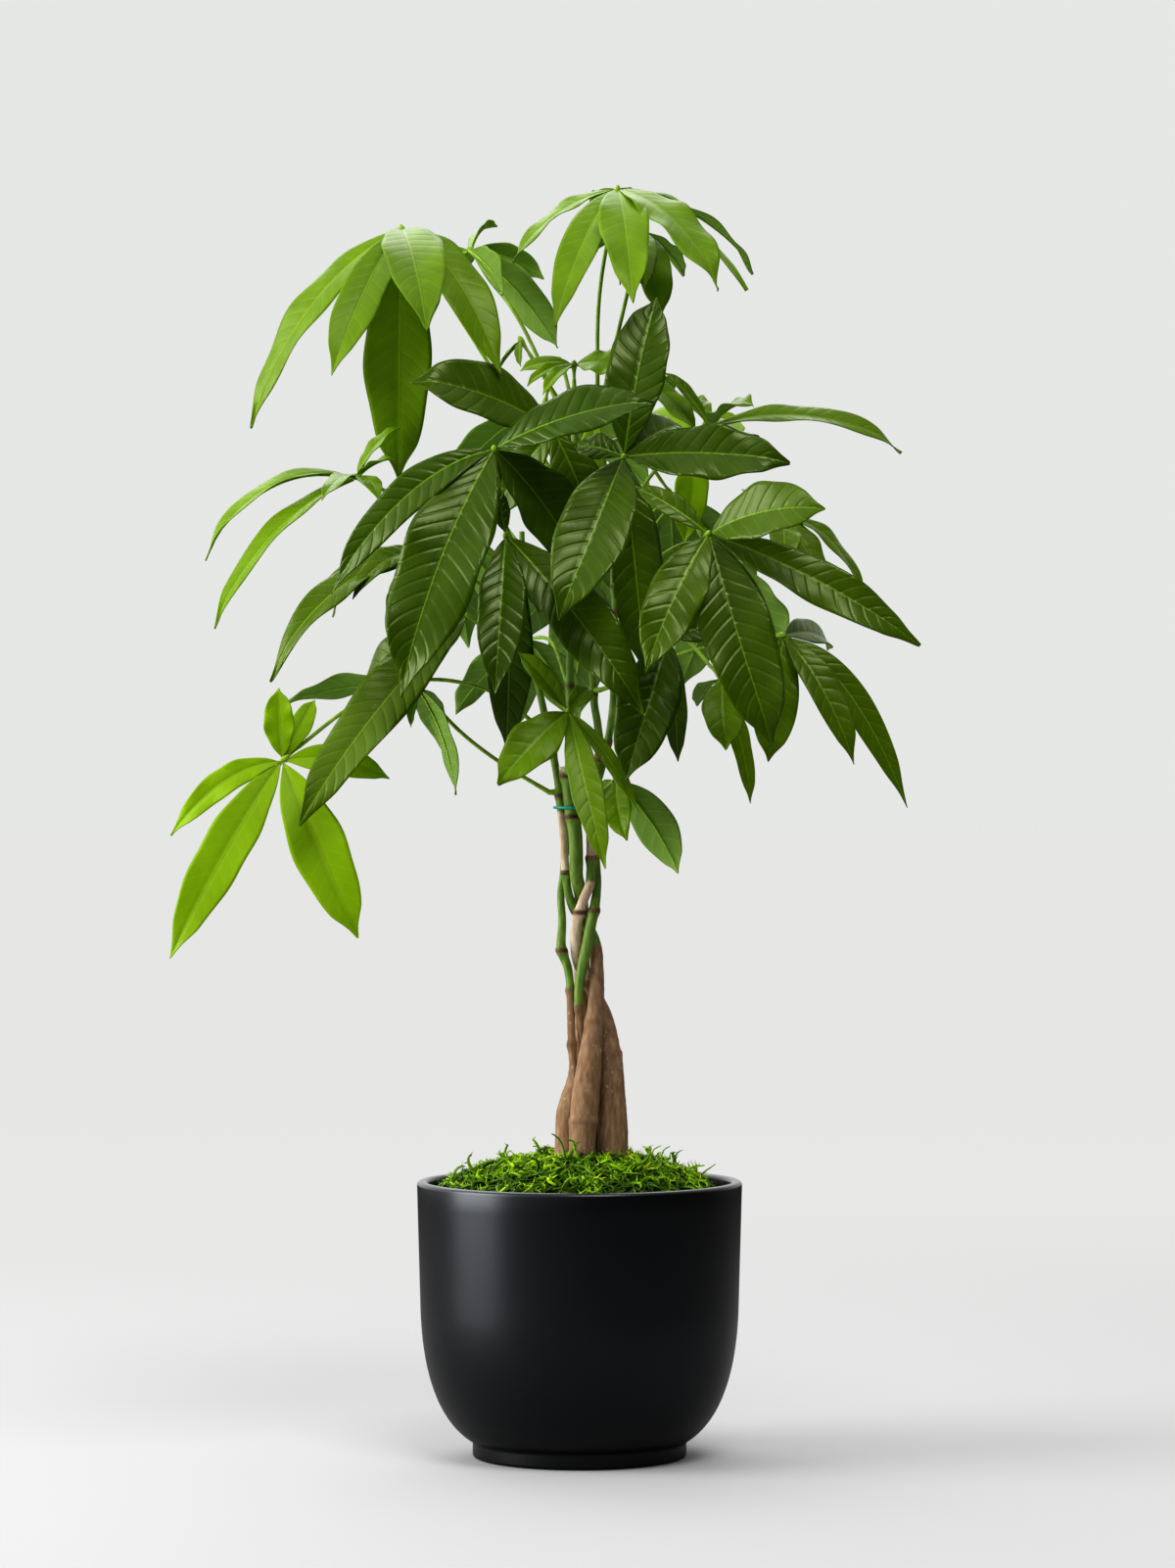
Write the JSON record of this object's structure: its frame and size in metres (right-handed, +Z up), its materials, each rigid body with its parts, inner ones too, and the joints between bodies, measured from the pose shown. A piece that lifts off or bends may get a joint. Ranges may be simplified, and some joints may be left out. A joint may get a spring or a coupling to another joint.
{
  "type": "potted money tree",
  "caption": "Potted money tree: plaited brown stems and drooping hand-shaped green leaves above moss in a matte black urn-shaped cachepot.",
  "frame": {"origin": "middle of the pot's flat base, on the surface it stands on", "axes": "+Z up along the pot's axis, -Y towards the front of the plant, +X to its right"},
  "size_m": [0.4054, 0.3259, 0.705],
  "materials": {
    "matte_black_ceramic": "matte",
    "potting_soil": "matte",
    "green_moss": "matte",
    "bark_and_green_shoots": "matte",
    "teal_wire": "matte",
    "green_leaf": "satin"
  },
  "bodies": {
    "root": {"leaf_back_left": "green_leaf", "leaf_back_low": "green_leaf", "leaf_back_middle": "green_leaf", "leaf_back_right": "green_leaf", "leaf_back_top": "green_leaf", "leaf_back_upper": "green_leaf", "leaf_back_yellow": "green_leaf", "leaf_bottom_centre": "green_leaf", "leaf_centre_high": "green_leaf", "leaf_centre_low": "green_leaf", "leaf_centre_right": "green_leaf", "leaf_centre_shiny": "green_leaf", "leaf_centre_upright": "green_leaf", "leaf_far_left": "green_leaf", "leaf_folded_young": "green_leaf", "leaf_inner_lime": "green_leaf", "leaf_left_low": "green_leaf", "leaf_left_mid": "green_leaf", "leaf_left_thin": "green_leaf", "leaf_low_dark": "green_leaf", "leaf_low_left": "green_leaf", "leaf_low_right": "green_leaf", "leaf_right_low": "green_leaf", "leaf_right_mid": "green_leaf", "leaf_right_stalk": "green_leaf", "leaf_right_upper": "green_leaf", "leaf_top_left": "green_leaf", "leaf_top_left_back": "green_leaf", "leaf_top_right": "green_leaf", "leaf_top_right_low": "green_leaf", "leaf_top_young": "green_leaf", "leaf_upper_olive": "green_leaf", "moss_top": "green_moss", "pot": "matte_black_ceramic", "soil": "potting_soil", "stem_front": "bark_and_green_shoots", "stem_left": "bark_and_green_shoots", "stem_right": "bark_and_green_shoots", "stem_thin_left": "bark_and_green_shoots", "stem_thin_right": "bark_and_green_shoots", "twist_tie": "teal_wire"}
  },
  "joints": []
}
